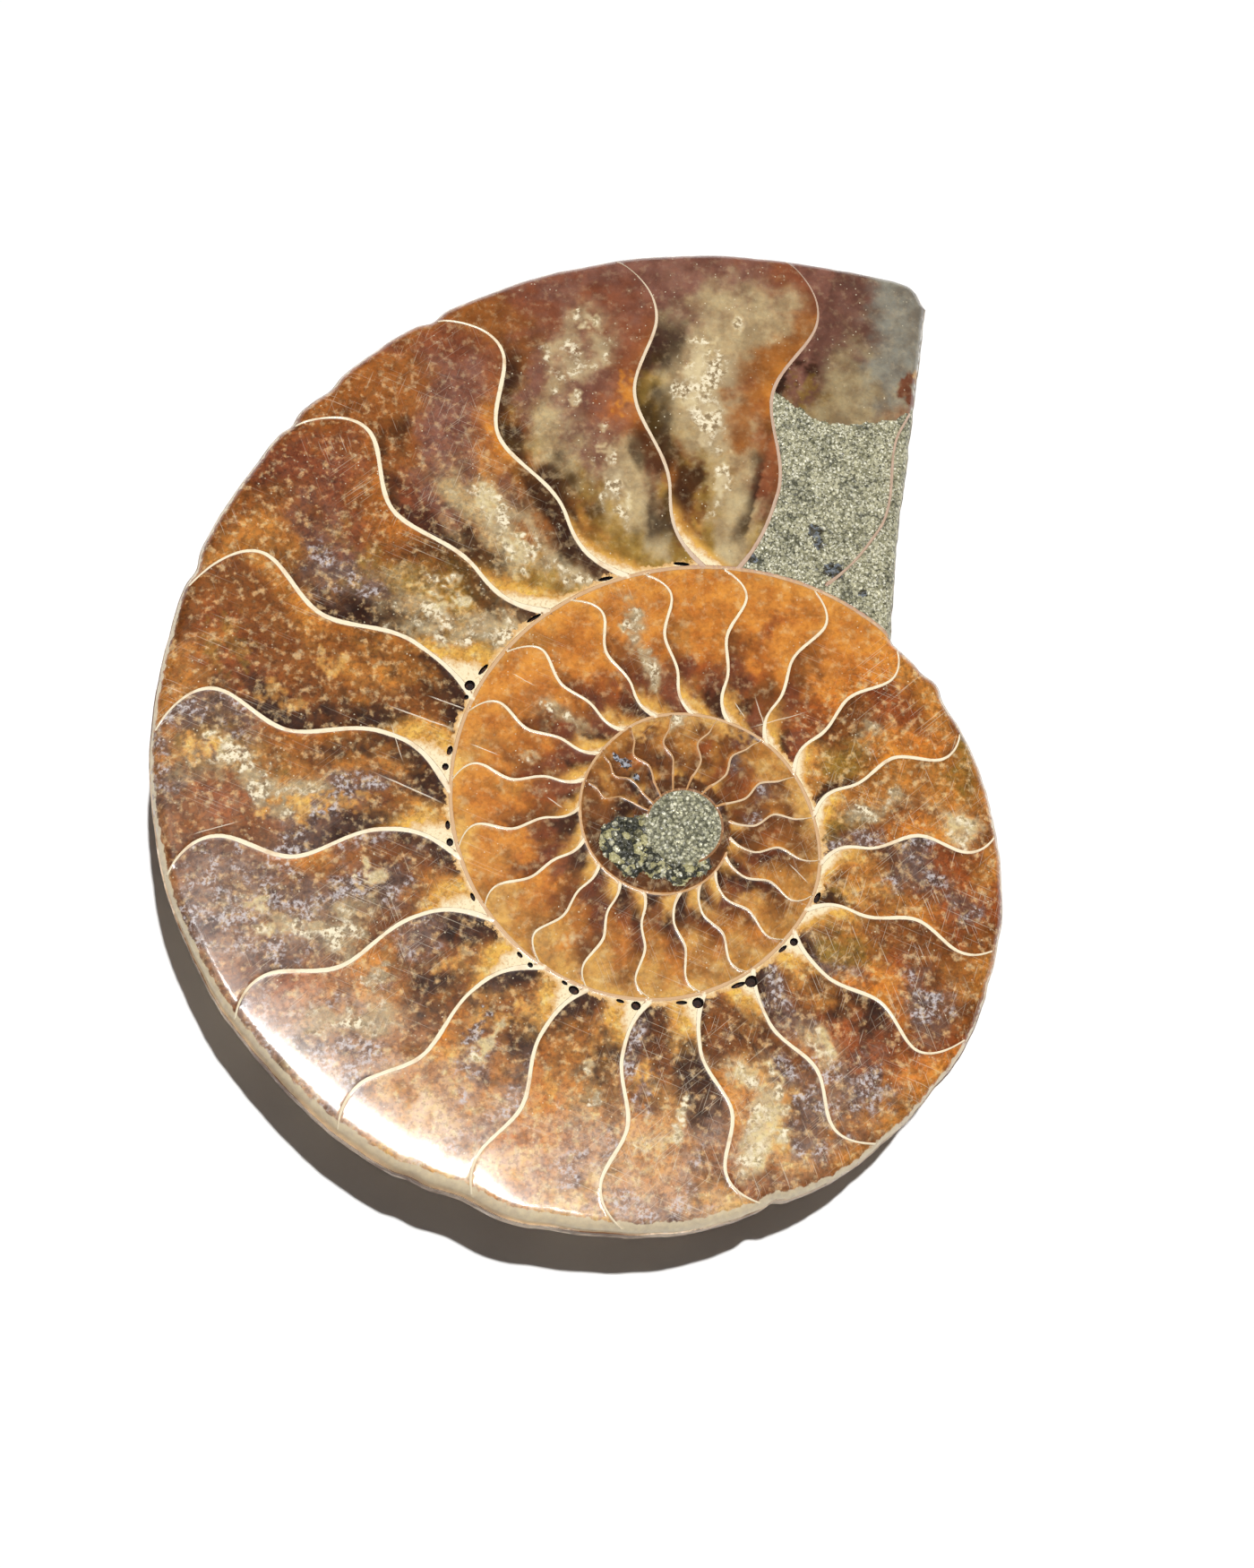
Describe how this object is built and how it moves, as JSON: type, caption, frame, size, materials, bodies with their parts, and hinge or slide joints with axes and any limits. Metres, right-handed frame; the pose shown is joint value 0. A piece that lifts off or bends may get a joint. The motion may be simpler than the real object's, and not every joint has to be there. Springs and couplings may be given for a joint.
{
  "type": "polished ammonite fossil half",
  "caption": "Half of a coiled ammonite fossil, sawn and polished flat to show its spiral wall, curved septa and stone-filled chambers, with a natural rounded back.",
  "frame": {"origin": "middle of the underside of the bounding box, on the surface that the back rests on", "axes": "+Z is the outward normal of the polished face, +Y runs along the longest side, towards the whorl by the sawn mouth, +X towards the mouth's side"},
  "size_m": [0.0626, 0.0768, 0.0092],
  "materials": {
    "fossil_stone": "polished calcite in amber, brown and purple-grey, cream septa and wall, granular pyrite in the core and the last chamber"
  },
  "bodies": {
    "root": {"ammonite_half": "fossil_stone"}
  },
  "joints": []
}
